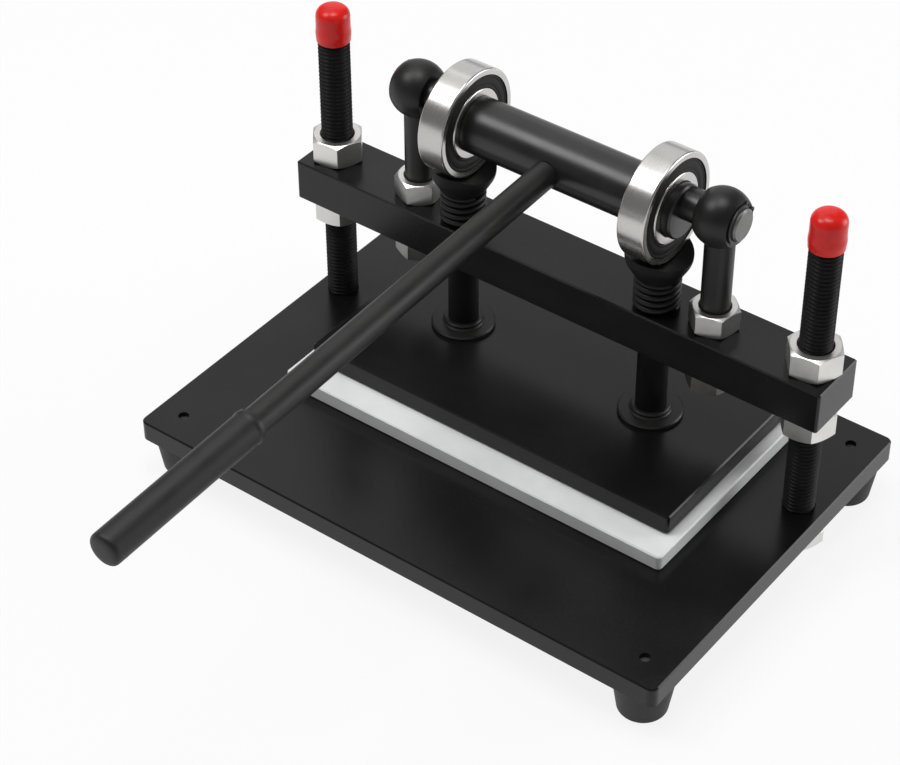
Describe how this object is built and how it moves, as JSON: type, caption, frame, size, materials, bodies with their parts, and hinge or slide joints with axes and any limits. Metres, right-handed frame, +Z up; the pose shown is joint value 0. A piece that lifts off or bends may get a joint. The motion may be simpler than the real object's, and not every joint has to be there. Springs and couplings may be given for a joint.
{
  "type": "manual die cutting press",
  "caption": "Bench press for cutting dies: a lever turns an eccentric shaft on ball bearings, which pushes a plate on sprung posts down on a plastic cutting pad.",
  "frame": {"origin": "on the bench, under the middle of the whole machine with the lever down", "axes": "+Z up, +X to the operator's right, +Y away from the operator; the lever points to -Y"},
  "size_m": [0.3408, 0.4292, 0.2268],
  "materials": {
    "base_black": "satin black paint on steel plate",
    "black_steel": "black oxide, oiled",
    "zinc_steel": "bright zinc plate",
    "bearing_steel": "ground bearing steel",
    "cage_steel": "pressed steel",
    "pin_steel": "turned steel, dulled",
    "spring_steel": "blackened spring wire",
    "seal_rubber": "black nitrile",
    "foot_rubber": "moulded black rubber",
    "grip_rubber": "black rubber sleeve",
    "cap_red": "dipped red vinyl",
    "pad_white": "white polyethylene board"
  },
  "bodies": {
    "frame": {"base_plate": "base_black", "front_left_foot": "foot_rubber", "front_right_foot": "foot_rubber", "rear_left_foot": "foot_rubber", "rear_right_foot": "foot_rubber", "foot_screws": "zinc_steel", "cutting_pad": "pad_white", "left_column": "black_steel", "right_column": "black_steel", "left_column_cap": "cap_red", "right_column_cap": "cap_red", "column_base_nuts": "zinc_steel"},
    "beam": {"cross_beam": "base_black", "column_top_nuts": "zinc_steel", "column_lower_nuts": "zinc_steel", "left_eyebolt": "black_steel", "right_eyebolt": "black_steel", "eyebolt_top_nuts": "zinc_steel", "eyebolt_lower_nuts": "zinc_steel", "left_return_spring": "spring_steel", "right_return_spring": "spring_steel"},
    "crank": {"eccentric_shaft": "black_steel", "left_inner_ring": "bearing_steel", "right_inner_ring": "bearing_steel", "pin_retaining_rings": "pin_steel", "lever_rod": "black_steel", "lever_grip": "grip_rubber"},
    "left_roller": {"left_outer_ring": "bearing_steel", "left_seals": "seal_rubber"},
    "right_roller": {"right_outer_ring": "bearing_steel", "right_seals": "seal_rubber"},
    "left_ball_set": {"left_balls": "bearing_steel", "left_cage": "cage_steel"},
    "right_ball_set": {"right_balls": "bearing_steel", "right_cage": "cage_steel"},
    "press": {"press_plate": "base_black", "left_push_post": "black_steel", "right_push_post": "black_steel", "left_post_collar": "black_steel", "right_post_collar": "black_steel", "post_screws": "spring_steel"}
  },
  "joints": [
    {"name": "beam_height", "type": "slide", "parent": "frame", "child": "beam", "axis": [0, 0, 1], "range_m": [0, 0.045]},
    {"name": "lever_swing", "type": "hinge", "parent": "beam", "child": "crank", "pos_m": [0, 0.1381, 0.1981], "axis": [-1, 0, 0], "range_deg": [0, 75]},
    {"name": "press_slide", "type": "slide", "parent": "beam", "child": "press", "axis": [0, 0, 1], "range_m": [0, 0.0054], "deforming": ["left_return_spring", "right_return_spring"]},
    {"name": "left_roller_spin", "type": "hinge", "parent": "crank", "child": "left_roller", "pos_m": [-0.063, 0.13547, 0.19355], "axis": [1, 0, 0], "continuous": true},
    {"name": "left_ball_orbit", "type": "hinge", "parent": "crank", "child": "left_ball_set", "pos_m": [-0.063, 0.13547, 0.19355], "axis": [1, 0, 0], "continuous": true},
    {"name": "right_roller_spin", "type": "hinge", "parent": "crank", "child": "right_roller", "pos_m": [0.063, 0.13547, 0.19355], "axis": [1, 0, 0], "continuous": true},
    {"name": "right_ball_orbit", "type": "hinge", "parent": "crank", "child": "right_ball_set", "pos_m": [0.063, 0.13547, 0.19355], "axis": [1, 0, 0], "continuous": true}
  ],
  "couplings": [
    {"joint": "press_slide", "follows": "lever_swing", "m_per_rad": 0.0041252},
    {"joint": "left_ball_orbit", "follows": "left_roller_spin", "ratio": 0.6033},
    {"joint": "right_ball_orbit", "follows": "right_roller_spin", "ratio": 0.6033}
  ]
}
